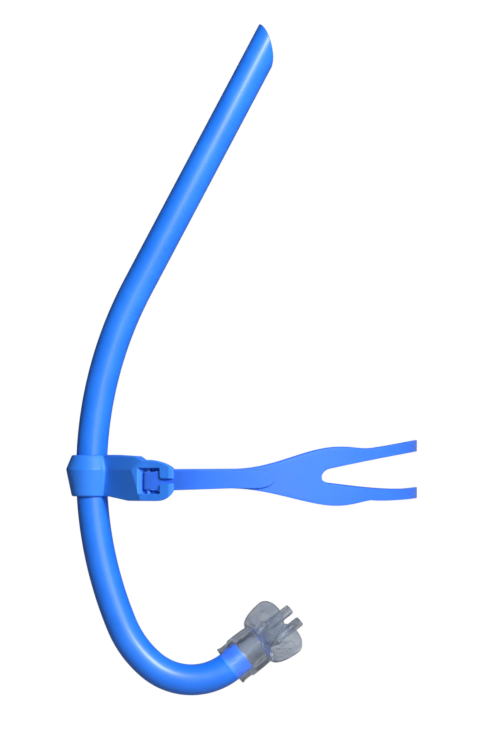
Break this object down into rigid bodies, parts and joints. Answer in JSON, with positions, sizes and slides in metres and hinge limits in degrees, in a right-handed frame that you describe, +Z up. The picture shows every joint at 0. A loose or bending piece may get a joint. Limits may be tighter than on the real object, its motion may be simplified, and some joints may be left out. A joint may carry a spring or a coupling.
{
  "type": "frontal swimming snorkel",
  "caption": "Frontal snorkel: bent rigid breathing tube turning and sliding in a padded head bracket, with a split silicone head strap and a clear swivelling mouthpiece.",
  "frame": {"origin": "centre of the forehead pad's flat contact face", "axes": "+X from the pad's face towards the back of the head, +Z up along the tube at the bracket, -Y the wearer's left"},
  "size_m": [0.249, 0.1436, 0.4765],
  "materials": {
    "tube_plastic": "glossy blue, extruded pipe",
    "clear_silicone": "clear grey-blue silicone, polished",
    "bracket_plastic": "satin moulded blue plastic",
    "bush_rubber": "matt black elastomer",
    "pad_foam": "matt closed-cell foam",
    "pin_plastic": "smooth blue plastic",
    "strap_silicone": "matt blue silicone"
  },
  "bodies": {
    "head_bracket": {"bracket": "bracket_plastic", "forehead_pad": "pad_foam", "strap_pin_left": "pin_plastic", "strap_pin_right": "pin_plastic", "strap": "strap_silicone"},
    "bush": {"grip_bush": "bush_rubber"},
    "tube": {"tube": "tube_plastic"},
    "mouthpiece": {"mouthpiece": "clear_silicone"}
  },
  "joints": [
    {"name": "tube_turn", "type": "hinge", "parent": "head_bracket", "child": "bush", "pos_m": [-0.01895, 0, 0], "axis": [0, 0, 1], "continuous": true},
    {"name": "tube_slide", "type": "hinge", "parent": "bush", "child": "tube", "pos_m": [0.26305, 0, 0.002], "axis": [0, 1, 0], "range_deg": [-3, 3]},
    {"name": "mouthpiece_swivel", "type": "hinge", "parent": "tube", "child": "mouthpiece", "pos_m": [0.07915, 0, -0.13549], "axis": [0.7848, 0, 0.6198], "continuous": true}
  ]
}
